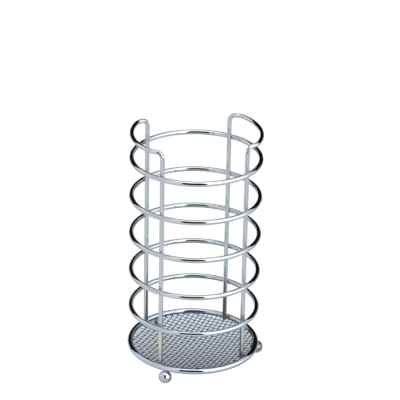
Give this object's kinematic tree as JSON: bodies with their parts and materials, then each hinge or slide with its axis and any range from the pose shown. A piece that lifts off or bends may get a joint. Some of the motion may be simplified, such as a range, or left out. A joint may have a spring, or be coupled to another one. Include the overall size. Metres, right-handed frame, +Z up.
{
  "type": "utensil caddy",
  "caption": "Tall round wire caddy for kitchen utensils: level hoops on two bent wire arches, a base ring with a woven wire floor, and ball feet.",
  "frame": {"origin": "where the caddy's upright axis meets the plane that its ball feet stand on", "axes": "+Z up along the caddy's axis; the two arches are on the -X and +X sides; -Y is the open front between them"},
  "size_m": [0.1197, 0.1156, 0.2148],
  "materials": {
    "bright_chrome": "bright polished chrome plate on steel wire",
    "mesh_steel": "chrome plate on woven steel wire, a little duller than the rings"
  },
  "bodies": {
    "root": {"base_ring": "bright_chrome", "hoop_1": "bright_chrome", "hoop_2": "bright_chrome", "hoop_3": "bright_chrome", "hoop_4": "bright_chrome", "hoop_5": "bright_chrome", "left_arch": "bright_chrome", "right_arch": "bright_chrome", "ball_foot_1": "bright_chrome", "ball_foot_2": "bright_chrome", "ball_foot_3": "bright_chrome", "mesh_warp": "mesh_steel", "mesh_weft": "mesh_steel"}
  },
  "joints": []
}
